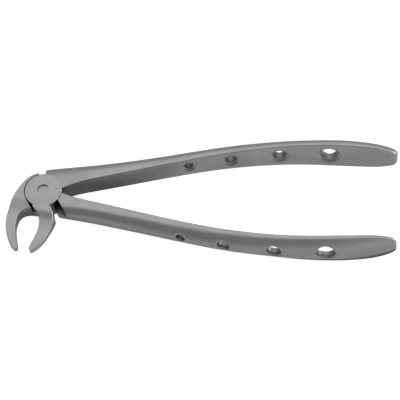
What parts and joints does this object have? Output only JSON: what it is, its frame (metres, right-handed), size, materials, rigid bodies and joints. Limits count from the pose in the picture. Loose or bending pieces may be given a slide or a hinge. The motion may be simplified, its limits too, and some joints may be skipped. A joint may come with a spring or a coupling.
{
  "type": "extraction forceps",
  "caption": "Hand forceps for pulling lower teeth: two steel halves crossing at a riveted lap joint, with bowed handles and beaks bent at right angles to them.",
  "frame": {"origin": "on the pivot axis, at the joint's lower flat face (the rear half's side)", "axes": "+Z along the pivot axis from the rear half to the front half, +X between the handles towards their free ends, -Y the way the beaks point"},
  "size_m": [0.1629, 0.0555, 0.016],
  "materials": {
    "forged_steel": "satin, bead blasted stainless steel",
    "rivet_steel": "satin, ground flush at the back and just below the front face"
  },
  "bodies": {
    "rear": {"rear_half": "forged_steel", "pivot_rivet": "rivet_steel"},
    "front": {"front_half": "forged_steel"}
  },
  "joints": [
    {"name": "pivot", "type": "hinge", "parent": "rear", "child": "front", "pos_m": [0, 0, 0.0045], "axis": [0, 0, 1], "range_deg": [-8, 11]}
  ]
}
